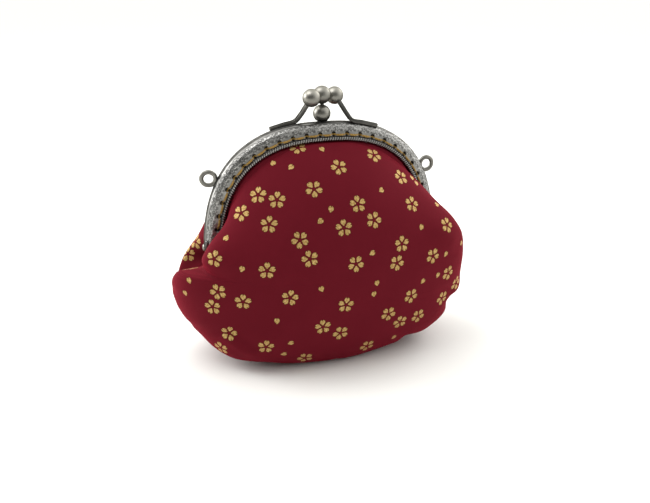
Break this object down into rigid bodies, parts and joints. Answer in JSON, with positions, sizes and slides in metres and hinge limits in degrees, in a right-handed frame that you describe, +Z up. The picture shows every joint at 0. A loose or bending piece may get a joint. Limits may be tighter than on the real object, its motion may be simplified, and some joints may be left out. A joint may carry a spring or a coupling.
{
  "type": "clasp coin purse",
  "caption": "Small closed coin purse: round-bellied printed cotton pouch sewn into a hinged arched metal frame with a ball clasp and side loops.",
  "frame": {"origin": "on the surface that the purse stands on, under the middle of the frame, in the parting plane of the frame's two halves", "axes": "+X along the frame to the wearer's right as seen from the front, +Y to the back, +Z up"},
  "size_m": [0.1376, 0.066, 0.1226],
  "materials": {
    "antique_silver": "antique silver plate on pressed iron, satin on the high parts and dark in the recesses",
    "printed_cotton": "deep red plain-weave cotton with a printed gold cherry blossom pattern"
  },
  "bodies": {
    "root": {"front_frame": "antique_silver", "back_frame": "antique_silver", "left_hinge_rivet": "antique_silver", "right_hinge_rivet": "antique_silver", "front_panel": "printed_cotton", "back_panel": "printed_cotton"}
  },
  "joints": []
}
